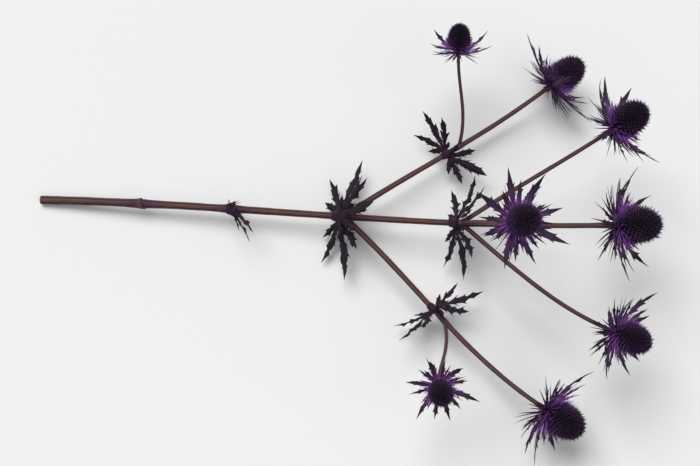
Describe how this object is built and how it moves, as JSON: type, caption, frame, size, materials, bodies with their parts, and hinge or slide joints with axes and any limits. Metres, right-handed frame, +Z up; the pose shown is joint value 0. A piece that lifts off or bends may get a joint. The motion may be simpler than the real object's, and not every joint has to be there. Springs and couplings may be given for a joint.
{
  "type": "sea holly stem",
  "caption": "Cut flowering stem of dark purple sea holly, lying down: ribbed forked stem, spiny cone-shaped heads on rosettes of toothed bracts, and cut leaves at the forks.",
  "frame": {"origin": "on the surface it lies on, under the middle of its box", "axes": "+X along the stem from the cut end to the heads, +Z up"},
  "size_m": [0.5222, 0.3682, 0.1811],
  "materials": {
    "stem": "satin",
    "floret": "matte",
    "bract": "satin",
    "leaf": "satin"
  },
  "bodies": {
    "root": {"stem": "stem", "top_bracts": "bract", "top_head": "floret", "left_bracts": "bract", "left_head": "floret", "right_bracts": "bract", "right_head": "floret", "upper_left_bracts": "bract", "upper_left_head": "floret", "upper_right_bracts": "bract", "upper_right_head": "floret", "crown_bracts": "bract", "crown_head": "floret", "left_bud_bracts": "bract", "left_bud_head": "floret", "right_bud_bracts": "bract", "right_bud_head": "floret", "low_leaf": "leaf", "fork_leaves": "leaf", "upper_leaves": "leaf", "left_leaves": "leaf", "right_leaves": "leaf"}
  },
  "joints": []
}
